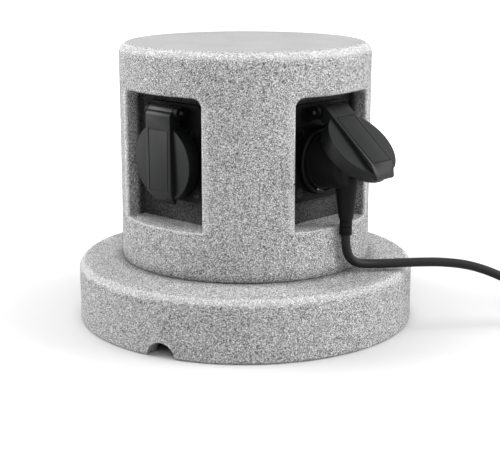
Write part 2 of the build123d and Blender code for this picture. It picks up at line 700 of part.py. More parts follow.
CLIP_BACK_D = WELL_D - CLIP_GROOVE
with BuildPart() as earth_clip:
    with BuildSketch(SIDE):
        with BuildLine():
            for side in (-1, 1):
                Polyline(
                    (CLIP_BACK_D, SOCKET_Z),
                    (CLIP_BACK_D, SOCKET_Z + side * CLIP_R),
                    (WELL_D + CLIP_REACH, SOCKET_Z + side * CLIP_R),
                    (WELL_D + CLIP_REACH, SOCKET_Z + side * (CLIP_R - CLIP_THICK)),
                    (CLIP_BACK_D + CLIP_THICK, SOCKET_Z + side * (CLIP_R - CLIP_THICK)),
                    (CLIP_BACK_D + CLIP_THICK, SOCKET_Z),
                )
        make_face()
    extrude(amount=CLIP_WIDTH / 2, both=True)
write_group(earth_clip.part, "earth_clips")

# Hinge pin through both ears and the lid's knuckle
with BuildPart() as hinge_pin:
    with BuildSketch(SIDE):
        with Locations((HINGE_D, HINGE_Z)):
            Circle(PIN_R)
    extrude(amount=BRACKET_HALF, both=True)
write_four(hinge_pin.part, "hinge_pin")


def on_coil(quarter, start_x):
    """A point of the lid spring, counted in quarter turns from below the hinge pin."""
    angle = math.radians(90 * quarter - 90)
    along = start_x + SPRING_PITCH * quarter / 4
    out = HINGE_D + SPRING_R * math.cos(angle)
    return Vector(along, -out, HINGE_Z + SPRING_R * math.sin(angle))


# Lid spring round the pin: one leg is held at the bracket, the other hooks down inside the lid
QUARTERS = 4 * SPRING_TURNS + 3
with BuildPart() as lid_spring:
    with BuildLine() as spring_path:
        coil_points = [on_coil(n, -SPRING_PITCH * QUARTERS / 8) for n in range(QUARTERS + 1)]
        leg_start = Vector(coil_points[0].X, -FLANGE_D - SLIP, coil_points[0].Z)
        Line(leg_start, coil_points[0])
        direction = Vector(0, -1, 0)
        for here, there in zip(coil_points, coil_points[1:]):
            arc = TangentArc(here, there, tangent=direction)
            direction = arc % 1
        Line(coil_points[-1], coil_points[-1] + direction * SPRING_LEG)
    with BuildSketch(Plane(origin=leg_start, x_dir=(1, 0, 0), z_dir=(0, -1, 0))):
        Rectangle(WIRE, WIRE)
    sweep()
write_four(lid_spring.part, "lid_spring")
turn_gap = min(
    (on_coil(n / 2, 0) - on_coil(n / 2 + 4, 0)).length for n in range(2 * QUARTERS - 8)
) - WIRE
print(f"lid spring: least gap between turns {turn_gap:.2f} mm")

# Raised strip down the lid: a rounded head over the knuckle, a bevelled foot that narrows downwards
PANEL_LOW = STRIP_LOW + STRIP_BEVEL_HEIGHT
STRIP_HIGH = HINGE_Z + KNUCKLE_R
with BuildPart() as strip:
    with BuildSketch(SIDE) as strip_section:
        with BuildLine():
            Polyline(
                (HINGE_D - STRIP_BACK, STRIP_LOW),
                (STRIP_D - STRIP_BEVEL_DEPTH, STRIP_LOW),
                (STRIP_D, PANEL_LOW),
                (STRIP_D, STRIP_HIGH - STRIP_HEAD_DROP),
                (HINGE_D, STRIP_HIGH - STRIP_HEAD_DROP),
                (HINGE_D, HINGE_Z),
                (HINGE_D - STRIP_NECK, HINGE_Z),
                (HINGE_D - STRIP_NECK, SOCKET_Z + CUP_R - CUP_WALL),
                (HINGE_D - STRIP_BACK, SOCKET_Z + CUP_R - CUP_WALL),
                close=True,
            )
        make_face()
        front = strip_section.vertices().group_by(Axis.X)[-1]
        fillet(front.sort_by(Axis.Y)[-1], STRIP_HEAD_ROUND)
        with Locations((HINGE_D, HINGE_Z)):
            Circle(KNUCKLE_R)
    extrude(amount=STRIP_WIDTH / 2, both=True)
    with BuildSketch(facing(STRIP_D, 0)):
        with BuildLine():
            Polyline(
                (-STRIP_FOOT_WIDTH / 2, STRIP_LOW),
                (STRIP_FOOT_WIDTH / 2, STRIP_LOW),
                (STRIP_WIDTH / 2, PANEL_LOW),
                (STRIP_WIDTH / 2, STRIP_HIGH),
                (-STRIP_WIDTH / 2, STRIP_HIGH),
                (-STRIP_WIDTH / 2, PANEL_LOW),
                close=True,
            )
        make_face()
    extrude(amount=FLANGE_D - STRIP_D, mode=Mode.INTERSECT)

# Lid, drawn shut: round cup with a sloping face, and the strip across it
with BuildPart() as lid:
    with BuildSketch(facing(CUP_RIM_D)):
        Circle(CUP_R)
    extrude(amount=CUP_FLOOR_D + CUP_TOP_THICK - CUP_RIM_D)
    with BuildSketch(SIDE):
        with BuildLine():
            Polyline(
                (CUP_FLOOR_D + CUP_TOP_THICK, SOCKET_Z + CUP_R),
                (CUP_FLOOR_D + 2 * CUP_TOP_THICK, SOCKET_Z + CUP_R),
                (CUP_FLOOR_D + 2 * CUP_TOP_THICK, SOCKET_Z - CUP_R),
                (CUP_FLOOR_D + CUP_FOOT_THICK, SOCKET_Z - CUP_R),
                close=True,
            )
        make_face()
    extrude(amount=CUP_R, both=True, mode=Mode.SUBTRACT)
    add(strip.part)
    with BuildSketch(facing(CUP_RIM_D)):
        Circle(CUP_R - CUP_WALL)
    extrude(amount=CUP_FLOOR_D - CUP_RIM_D, mode=Mode.SUBTRACT)
    with Locations(facing(CUP_RIM_D).location):
        Cone(
            CUP_R - CUP_WALL + CUP_RIM_CHAMFER,
            CUP_R - CUP_WALL,
            CUP_RIM_CHAMFER,
            align=(Align.CENTER, Align.CENTER, Align.MIN),
            mode=Mode.SUBTRACT,
        )
    with BuildSketch(SIDE):
        with Locations((HINGE_D, HINGE_Z)):
            Circle(PIN_R + PIN_RUN)
    extrude(amount=STRIP_WIDTH / 2, both=True, mode=Mode.SUBTRACT)
    with BuildSketch(SIDE):
        with BuildLine():
            Polyline(
                (HINGE_D + SLOT_R, HINGE_Z - SLOT_LOW),
                (HINGE_D + SLOT_R, HINGE_Z + SLOT_R),
                (HINGE_D - STRIP_BACK, HINGE_Z + SLOT_R),
                (HINGE_D - STRIP_BACK, HINGE_Z + SLOT_BACK),
                (HINGE_D - SLOT_BACK, HINGE_Z + SLOT_BACK),
                (HINGE_D - SLOT_BACK, HINGE_Z - SLOT_LOW),
                close=True,
            )
        make_face()
    extrude(amount=SLOT_HALF, both=True, mode=Mode.SUBTRACT)
    panel_high = HINGE_Z - PANEL_HEAD
    panel_width = STRIP_WIDTH - 2 * PANEL_MARGIN
    with BuildSketch(facing(STRIP_D, 0)):
        with Locations((0, (PANEL_LOW + panel_high) / 2)):
            Rectangle(panel_width, panel_high - PANEL_LOW)
            Rectangle(
                panel_width - 2 * PANEL_GROOVE,
                panel_high - PANEL_LOW - 2 * PANEL_GROOVE,
                mode=Mode.SUBTRACT,
            )
    extrude(amount=-PANEL_GROOVE_DEPTH, mode=Mode.SUBTRACT)

# Seal in the lid, which meets the collar's edge when the lid is shut
LID_SEAL_R = CUP_R - CUP_WALL - SLIP
with BuildPart() as lid_seal:
    with BuildSketch(facing(CUP_FLOOR_D)):
        Circle(LID_SEAL_R)
        Circle(LID_SEAL_R - LID_SEAL_WIDTH, mode=Mode.SUBTRACT)
    extrude(amount=-LID_SEAL_THICK)

for place, azimuth in PLACES.items():
    swing = LID_OPEN_ANGLE if place == PLUGGED else 0
    for piece, name in ((lid.part, "lid"), (lid_seal.part, "lid_seal")):
        turned = piece.rotate(HINGE, swing).rotate(Axis.Z, azimuth)
        turned.label = f"{name}_{place}"
        export_step(turned, f"parts/{name}_{place}.step")

# Plug: nose in the well, round body behind it, and a stem that tapers down to the sleeve
PLUG_AZIMUTH = PLACES[PLUGGED]
PAD_OUT = PLUG_NOSE_R - EARTH_PAD_THICK / 2
PAD_PLACES = [(0, PAD_OUT), (0, -PAD_OUT)]
PAD_LENGTH = SHOULDER_D - NOSE_D - PLUG_SHOULDER
with BuildPart() as plug_body:
    with BuildSketch(facing(NOSE_D)):
        Circle(PLUG_NOSE_R)
    extrude(amount=SHOULDER_D - NOSE_D)
    with BuildSketch(facing(SHOULDER_D)):
        Circle(PLUG_BODY_R)
    extrude(amount=PLUG_BODY_LENGTH)
    fillet(plug_body.faces().sort_by(Axis.Y)[0].edges(), PLUG_BACK_ROUND)
    with BuildSketch(facing(NOSE_D)):
        with Locations(*PAD_PLACES):
            Rectangle(CLIP_WIDTH + 2 * SLIP, EARTH_PAD_THICK + 2 * SLIP)
    extrude(amount=PAD_LENGTH, mode=Mode.SUBTRACT)
    with BuildSketch(Plane.XY.offset(STEM_FOOT_Z)):
        with Locations((0, -STEM_D)):
            Circle(STEM_FOOT_R)
    with BuildSketch(Plane.XY.offset(STEM_TOP_Z)):
        with Locations((0, -STEM_D)):
            Circle(STEM_TOP_R)
    loft()
plug = plug_body.part.rotate(Axis.Z, PLUG_AZIMUTH)
plug.label = "plug_body"
export_step(plug, "parts/plug_body.step")

with BuildPart() as plug_pins:
    with BuildSketch(facing(NOSE_D)):
        with Locations(*PIN_PLACES):
            Circle(PLUG_PIN_R)
    extrude(amount=-PLUG_PIN_LENGTH)
    chamfer(plug_pins.edges().group_by(Axis.Y)[-1], PLUG_PIN_R / 2)
pins = plug_pins.part.rotate(Axis.Z, PLUG_AZIMUTH)
pins.label = "plug_pins"
export_step(pins, "parts/plug_pins.step")

with BuildPart() as earth_pads:
    with BuildSketch(facing(NOSE_D)):
        with Locations(*PAD_PLACES):
            Rectangle(EARTH_PAD_WIDTH, EARTH_PAD_THICK)
    extrude(amount=PAD_LENGTH)
pads = earth_pads.part.rotate(Axis.Z, PLUG_AZIMUTH)
pads.label = "plug_earth_contacts"
export_step(pads, "parts/plug_earth_contacts.step")

# Ribbed sleeve under the stem
with BuildPart() as sleeve:
    with BuildSketch(Plane.XY.offset(SLEEVE_FOOT_Z)):
        with Locations((0, -STEM_D)):
            Circle(SLEEVE_R)
    extrude(amount=SLEEVE_LENGTH)
    for groove in range(SLEEVE_GROOVES):
        groove_middle = SLEEVE_LENGTH * (2 * groove + 1) / (2 * SLEEVE_GROOVES)
        with BuildSketch(Plane.XY.offset(SLEEVE_FOOT_Z + groove_middle - SLEEVE_GROOVE / 2)):
            with Locations((0, -STEM_D)):
                Circle(SLEEVE_R + OVERRUN)
                Circle(SLEEVE_R - SLEEVE_GROOVE, mode=Mode.SUBTRACT)
        extrude(amount=SLEEVE_GROOVE, mode=Mode.SUBTRACT)
sleeve_piece = sleeve.part.rotate(Axis.Z, PLUG_AZIMUTH)
sleeve_piece.label = "plug_sleeve"
export_step(sleeve_piece, "parts/plug_sleeve.step")


def arc_radii(points):
    """Arc radii for a route's corners, each as large as its two runs allow."""
    radii = []
    for before, corner, after in zip(points, points[1:], points[2:]):
        run_in = Vector(*corner) - Vector(*before)
        run_out = Vector(*after) - Vector(*corner)
        half_turn = math.radians(run_in.get_angle(run_out)) / 2
        radii.append(RUN_SHARE * min(run_in.length, run_out.length) / math.tan(half_turn))
    return radii


def print_tube(name, tube, path, section):
    """Prints a tube's length, and its volume beside its section times that length."""
    length = sum(edge.length for edge in path.edges())
    print(f"{name}: {length:.1f} mm long, volume {tube.volume / (section * length):.4f} of section x length")


# Cord from the sleeve, over the plinth's shoulder and down to the coil
ROUND_SECTION = math.pi * CORD_R**2
route_radii = arc_radii(CORD_ROUTE)
print("cord radii", [round(radius, 1) for radius in route_radii])
with BuildPart() as cord:
    with BuildLine() as cord_path:
        FilletPolyline(*CORD_ROUTE, radius=route_radii)
    with BuildSketch(Plane(origin=cord_path.line @ 0, z_dir=cord_path.line % 0)):
        Circle(CORD_R)
    sweep()
cord.part.label = "cord"
export_step(cord.part, "parts/cord.step")
print_tube("cord", cord.part, cord_path, ROUND_SECTION)

# Coil: the cord spirals in on the ground, climbs in half a turn and spirals out again on top
coil_start = Vector(*CORD_ROUTE[-1])
heading = (coil_start - Vector(*CORD_ROUTE[-2])).normalized()
across = heading.rotate(Axis.Z, 90)
end_run = heading * (2 * CORD_R)
in_radii = [COIL_R - COIL_PITCH / 2 * n for n in range(COIL_IN_HALVES)]
climb_radius = COIL_R - COIL_PITCH / 2 * COIL_IN_HALVES
out_radii = [climb_radius + COIL_PITCH / 2 * (n + 1) for n in range(COIL_OUT_HALVES)]
level = [(radius, 0) for radius in in_radii] + [(climb_radius, COIL_PITCH)]
level += [(radius, 0) for radius in out_radii]
with BuildPart() as coil:
    with BuildLine() as coil_path:
        here = coil_start + end_run
        side = 1
        Line(coil_start, here)
        for radius, climb in level:
            there = here + across * (2 * radius * side) + Vector(0, 0, climb)
            middle = (here + there) * 0.5 + heading * (radius * side)
            TangentArc(here, middle, tangent=heading * side)
            TangentArc(middle, there, tangent=there - here)
            here = there
            side = -side
        coil_end = here + end_run * side
        Line(here, coil_end)
    with BuildSketch(Plane(origin=coil_start, x_dir=across, z_dir=heading)):
        RegularPolygon(CORD_R, CORD_SIDES, rotation=180 / CORD_SIDES)
    sweep()
coil.part.label = "cord_coil"
export_step(coil.part, "parts/cord_coil.step")
polygon_section = CORD_SIDES / 2 * CORD_R**2 * math.sin(2 * math.pi / CORD_SIDES)
print_tube("cord coil", coil.part, coil_path, polygon_section)


def least_gap(path, steps, skip):
    """The least gap of a tube to itself, measured between points at least skip apart along it."""
    points = [path.line @ (n / steps) for n in range(steps + 1)]
    spacing = sum(edge.length for edge in path.edges()) / steps
    apart = math.ceil(skip / spacing)
    least = min(
        (points[a] - points[b]).length for a in range(steps + 1) for b in range(a + apart, steps + 1)
    )
    return least - 2 * CORD_R


print(f"cord coil: least gap to itself {least_gap(coil_path, 400, climb_radius):.2f} mm")

# Tail from the top of the coil to the coupler, which lies beside the coil
tail_points = [tuple(coil_end), *CORD_TAIL]
tail_radii = arc_radii(tail_points)
print("tail from", [round(v, 2) for v in coil_end], "radii", [round(radius, 1) for radius in tail_radii])
with BuildPart() as tail:
    with BuildLine() as tail_path:
        FilletPolyline(*tail_points, radius=tail_radii)
    with BuildSketch(Plane(origin=tail_path.line @ 0, z_dir=tail_path.line % 0)):
        Circle(CORD_R)
    sweep()
tail.part.label = "cord_tail"
export_step(tail.part, "parts/cord_tail.step")
print_tube("cord tail", tail.part, tail_path, ROUND_SECTION)

# Coupler: tapering neck and round body, with a gripped coupling ring
coupler_plane = Plane(origin=tail_path.line @ 1, x_dir=(0, 0, 1), z_dir=tail_path.line % 1)
with BuildPart() as coupler:
    with BuildSketch(coupler_plane):
        Circle(COUPLER_NECK_R)
    with BuildSketch(coupler_plane.offset(COUPLER_NECK_LENGTH)):
        Circle(COUPLER_R)
    loft()
    with BuildSketch(coupler_plane.offset(COUPLER_NECK_LENGTH)):
        Circle(COUPLER_R)
    extrude(amount=COUPLER_LENGTH - COUPLER_NECK_LENGTH)
coupler.part.label = "coupler_body"
export_step(coupler.part, "parts/coupler_body.step")

with BuildPart() as coupler_ring:
    with BuildSketch(coupler_plane.offset(COUPLER_LENGTH + RING_OVERHANG - RING_LENGTH)):
        Circle(RING_R)
        with PolarLocations(RING_R, RING_RIBS):
            Circle(RING_RIB_R, mode=Mode.SUBTRACT)
        Circle(COUPLER_R + SLIP, mode=Mode.SUBTRACT)
    extrude(amount=RING_LENGTH)
coupler_ring.part.label = "coupler_ring"
export_step(coupler_ring.part, "parts/coupler_ring.step")
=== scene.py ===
import json
import math

import bmesh
import bpy
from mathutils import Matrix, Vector


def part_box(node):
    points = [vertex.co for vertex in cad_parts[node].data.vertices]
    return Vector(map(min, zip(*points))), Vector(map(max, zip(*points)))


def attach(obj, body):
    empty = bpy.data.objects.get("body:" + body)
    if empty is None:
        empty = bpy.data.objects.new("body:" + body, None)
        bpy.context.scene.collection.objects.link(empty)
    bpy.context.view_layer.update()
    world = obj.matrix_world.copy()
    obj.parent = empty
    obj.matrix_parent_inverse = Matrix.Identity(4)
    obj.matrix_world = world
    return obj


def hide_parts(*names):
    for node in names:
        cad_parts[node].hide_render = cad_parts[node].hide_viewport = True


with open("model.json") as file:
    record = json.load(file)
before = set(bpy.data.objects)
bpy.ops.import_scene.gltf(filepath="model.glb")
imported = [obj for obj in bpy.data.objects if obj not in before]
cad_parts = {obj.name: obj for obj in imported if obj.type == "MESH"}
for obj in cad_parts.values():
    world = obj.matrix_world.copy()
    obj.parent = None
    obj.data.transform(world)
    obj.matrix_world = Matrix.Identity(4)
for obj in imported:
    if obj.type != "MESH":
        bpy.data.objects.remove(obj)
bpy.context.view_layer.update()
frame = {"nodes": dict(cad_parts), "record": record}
nodes = frame["nodes"]
record = frame["record"]

# Camera, fitted to the photograph
CAMERA_PLACE = (0.5683, -0.5965, 0.2576)
CAMERA_DOWN = 13.69
CAMERA_AROUND = 43.4
LENS = 89.64
SENSOR_WIDTH = 36.0
NEAR_CLIP = 0.02
FAR_CLIP = 60.0

camera_data = bpy.data.cameras.new("camera")
camera_data.lens = LENS
camera_data.sensor_width = SENSOR_WIDTH
camera_data.clip_start = NEAR_CLIP
camera_data.clip_end = FAR_CLIP
camera = bpy.data.objects.new("camera", camera_data)
camera.location = CAMERA_PLACE
camera.rotation_euler = (math.radians(90 - CAMERA_DOWN), 0.0, math.radians(CAMERA_AROUND))
bpy.context.scene.collection.objects.link(camera)
bpy.context.scene.camera = camera

# Lead: the route from the plug, a coil on the ground outside the view, and the tail to the coupler
LEAD_DIAMETER = 0.006
LEAD_ROUTE = [
    (0.0874, 0.0, 0.0688),
    (0.0874, 0.0, 0.0575),
    (0.0890, 0.0071, 0.0488),
    (0.0929, 0.0197, 0.0466),
    (0.1007, 0.0333, 0.0458),
    (0.1099, 0.0468, 0.0456),
    (0.1198, 0.0610, 0.0448),
    (0.1309, 0.0756, 0.0420),
    (0.1426, 0.0894, 0.0355),
    (0.1540, 0.1021, 0.0262),
    (0.1642, 0.1131, 0.0165),
    (0.1740, 0.1231, 0.0080),
    (0.1833, 0.1322, 0.00305),
    (0.19247, 0.14084, 0.00305),
]
LEAD_TAIL = [
    (0.20723, 0.16382, 0.00965),
    (0.2140, 0.1768, 0.0093),
    (0.2156, 0.1920, 0.0079),
    (0.2122, 0.2064, 0.0079),
]
COIL_OUTER = 0.04265
COIL_PITCH = 0.0066
COIL_IN_TURNS = 2.5
COIL_CLIMB_TURNS = 0.5
COIL_OUT_TURNS = 2.0
COIL_END_RUN = 0.006
POINTS_PER_TURN = 16
CURVE_STEPS = 8
TUBE_STEPS = 6


def coil_points(start, before):
    """Points of a coil that spirals in, climbs in half a turn and spirals out again."""
    start = Vector(start)
    heading = (start - Vector(before)).normalized()
    across = Vector((-heading.y, heading.x, 0.0))
    centre = start + heading * COIL_END_RUN + across * COIL_OUTER
    inner = COIL_OUTER - COIL_PITCH * COIL_IN_TURNS
    step = 1 / POINTS_PER_TURN
    outward = 1 / math.cos(math.pi * step)
    total = COIL_IN_TURNS + COIL_CLIMB_TURNS + COIL_OUT_TURNS
    found = []
    for n in range(round(total * POINTS_PER_TURN)):
        turn = (n + 0.5) * step
        climb = min(1.0, max(0.0, (turn - COIL_IN_TURNS) / COIL_CLIMB_TURNS))
        if turn < COIL_IN_TURNS:
            radius = COIL_OUTER - COIL_PITCH * turn
        elif climb < 1.0:
            radius = inner - COIL_PITCH / 4 * math.sin(math.pi * climb)
        else:
            radius = inner + COIL_PITCH * (turn - COIL_IN_TURNS - COIL_CLIMB_TURNS)
        middle = centre + across * (COIL_PITCH / 2 * climb)
        angle = 2 * math.pi * turn
        spoke = heading * math.sin(angle) - across * math.cos(angle)
        rise = COIL_PITCH * (3 * climb ** 2 - 2 * climb ** 3)
        found.append(tuple(middle + spoke * (radius * outward) + Vector((0.0, 0.0, rise))))
    return found


def curve_object(name, points, radius):
    """A round tube along a smooth spline with these control points.
    """
    data = bpy.data.curves.new(name, "CURVE")
    data.dimensions = "3D"
    data.resolution_u = CURVE_STEPS
    data.bevel_depth = 1.0
    data.bevel_resolution = TUBE_STEPS
    data.use_fill_caps = True
    spline = data.splines.new("NURBS")
    spline.points.add(len(points) - 1)
    for control, point in zip(spline.points, points):
        control.co = (*point, 1.0)
        control.radius = radius
    spline.order_u = 3
    spline.use_endpoint_u = True
    made = bpy.data.objects.new(name, data)
    bpy.context.scene.collection.objects.link(made)
    return made


lead_points = LEAD_ROUTE + coil_points(LEAD_ROUTE[-1], LEAD_ROUTE[-2]) + LEAD_TAIL
lead = curve_object("lead", lead_points, LEAD_DIAMETER / 2)
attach(lead, "plug")
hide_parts("cord", "cord_coil", "cord_tail")


# Materials; their patterns lie askew, so that no wall runs along a row of grains
PATTERN_TURN = (0.61, 0.37, 0.93)


class Graph:
    """A material's node tree, with short calls that add linked nodes."""

    def __init__(self, name):
        self.material = bpy.data.materials.new(name)
        self.material.use_nodes = True
        self.tree = self.material.node_tree
        self.shader = self.tree.nodes["Principled BSDF"]
        coordinates = self.tree.nodes.new("ShaderNodeTexCoord")
        self.place = coordinates.outputs["Object"]
        self.facing = coordinates.outputs["Normal"]
        turned = self.tree.nodes.new("ShaderNodeVectorRotate")
        turned.rotation_type = "EULER_XYZ"
        turned.inputs["Rotation"].default_value = PATTERN_TURN
        self.tree.links.new(self.place, turned.inputs["Vector"])
        self.field = turned.outputs["Vector"]

    def put(self, socket, value):
        """Links an output to the socket, or sets the socket's own value."""
        if isinstance(value, bpy.types.NodeSocket):
            self.tree.links.new(value, socket)
        else:
            socket.default_value = value

    def add(self, kind, out, settings=None, **inputs):
        """Adds a node with these settings and inputs, and gives one of its outputs."""
        made = self.tree.nodes.new(kind)
        for key, value in (settings or {}).items():
            setattr(made, key, value)
        for key, value in inputs.items():
            self.put(made.inputs[key], value)
        return made.outputs[out]

    def math(self, operation, a, b=0.0):
        made = self.tree.nodes.new("ShaderNodeMath")
        made.operation = operation
        self.put(made.inputs[0], a)
        self.put(made.inputs[1], b)
        return made.outputs[0]

    def times(self, a, b):
        return self.math("MULTIPLY", a, b)

    def away(self, value, from_value):
        """How far a value is from another, whichever is larger."""
        return self.math("ABSOLUTE", self.math("SUBTRACT", value, from_value))

    def noise(self, scale, detail, roughness):
        return self.add(
            "ShaderNodeTexNoise", "Fac",
            Vector=self.field, Scale=scale, Detail=detail, Roughness=roughness,
        )

    def ramp(self, value, low, high, to_low=0.0, to_high=1.0, smooth=True):
        """Goes from to_low to to_high as the value goes from low to high, and stays there."""
        made = self.tree.nodes.new("ShaderNodeMapRange")
        made.interpolation_type = "SMOOTHSTEP" if smooth else "LINEAR"
        for socket, number in zip(made.inputs, (value, low, high, to_low, to_high)):
            self.put(socket, number)
        return made.outputs[0]

    def mix(self, factor, a, b, blend="MIX"):
        made = self.tree.nodes.new("ShaderNodeMix")
        made.data_type = "RGBA"
        made.blend_type = blend
        self.put(made.inputs[0], factor)
        self.put(made.inputs[6], a)
        self.put(made.inputs[7], b)
        return made.outputs[2]

    def cells(self, scale, shift=0.0):
        """The distance from the middle of each random cell, and two random numbers for each."""
        moved = self.field
        if shift:
            moved = self.add("ShaderNodeVectorMath", "Vector", {"operation": "ADD"})
            self.put(moved.node.inputs[0], self.field)
            self.put(moved.node.inputs[1], (shift, shift, shift))
        made = self.tree.nodes.new("ShaderNodeTexVoronoi")
        self.put(made.inputs["Vector"], moved)
        made.inputs["Scale"].default_value = scale
        chance = self.tree.nodes.new("ShaderNodeSeparateColor")
        self.tree.links.new(made.outputs["Color"], chance.inputs[0])
        return made.outputs["Distance"], chance.outputs[0], chance.outputs[1]

    def bump(self, height, strength, distance):
        normal = self.add(
            "ShaderNodeBump", "Normal", Strength=strength, Distance=distance, Height=height
        )
        self.put(self.shader.inputs["Normal"], normal)


def grey(value, tint=(0.0, 0.0, 0.0)):
    return (value + tint[0], value + tint[1], value + tint[2], 1.0)


# Where highlight and shade are painted on the stone, in metres: a painted highlight at a pocket's
# mouth, painted shade within a pocket and at the joint
COLUMN_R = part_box("column_foot")[1][0]
PLINTH_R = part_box("plinth")[1][0]
SEAT_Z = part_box("column_foot")[0][2]
POCKET_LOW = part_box("column_foot")[1][2]
POCKET_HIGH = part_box("column_crown")[0][2]
POCKET_JAMB = 0.03375
POCKET_FADE_LOW = 0.001
POCKET_FADE_HIGH = 0.008
MOUTH_SHIFT = 0.002
MOUTH_EDGE = 0.0045
MOUTH_FULL = 0.001
MOUTH_DEPTH = (0.003, 0.001)
# Painted shade inside the pockets: how far in from the column's face it begins and is full
DEEP_FROM = 0.0065
DEEP_FULL = 0.011
# Painted shade at the seam between column and plinth: how far it reaches
JOINT_SHADE = 0.007

# How much a face looks up: the level top, the rounded edges that get a painted highlight, and floors
# inside the pockets, where the painted shade is weaker
TOP_FACING = (0.9985, 0.9999)
EDGE_FACING_LOW = (0.1, 0.5)
EDGE_FACING_HIGH = (0.985, 0.85)
FLOOR_FACING = (0.5, 0.9)

# The stone's ground: slow clouds and darker patches, each with scale, detail and roughness
CLOUD = (22.0, 4.0, 0.55)
CLOUD_RANGE = (0.3, 0.7)
CLOUD_TONES = (0.94, 1.06)
PATCH = (130.0, 5.0, 0.7)
PATCH_RANGE = (0.48, 0.7)
PATCH_TONE = 0.6
# Painted highlights: the palest ground tone, and the share and tone of the paler colour on rounded
# edges and at pocket mouths
PALEST_GROUND = 0.95
EDGE_HIGHLIGHT_SHARE = 0.6
EDGE_HIGHLIGHT_TONE = 1.6
MOUTH_HIGHLIGHT_SHARE = 0.55
MOUTH_HIGHLIGHT_TONE = 1.8

# Grit: layers with their scale beside the grain's, shift, and shares of pale and dark cells
GRIT_LAYERS = ((1.0, 0.0, 0.35, 0.33), (1.45, 0.37, 0.3, 0.29))
GRIT_REACH = (0.62, 0.95)
GRIT_CORE = 0.35
GRIT_PALE = 2.8
GRIT_PALEST = 0.98
GRIT_DARK = 0.12
# Dark grit is fainter, down to this share, where highlights are painted
GRIT_DARK_ON_EDGES = 0.5

# Sparks and specks, smaller than the grit, and pits, larger: scale and shift, reach, chance
POINTS = (620.0, 0.53)
POINT_REACH = (0.26, 0.16)
SPARK_CHANCE = 0.22
SPECK_CHANCE = 0.88
SPECK_TONE = 0.1
PITS = (190.0, 0.91)
PIT_REACH = (0.2, 0.08)
PIT_CHANCE = 0.12
PIT_SHARE = 0.85
PIT_TONE = 0.12
PIT_DEPTH = 1.6

# Painted shade, gloss and relief
DEEP_WALL_SHADE = 0.92
DEEP_FLOOR_SHADE = 0.15
JOINT_SHADE_SHARE = 0.45
SHADE_TONE = 0.06
STONE_ROUGHNESS = (0.7, 0.9)
STONE_GLOSS = 0.3
GRAIN_DETAIL = (2.0, 0.6)
GRAIN_RELIEF = 0.5
PALE_RELIEF = 0.5
STONE_BUMP = 0.5
STONE_RELIEF = 0.0003


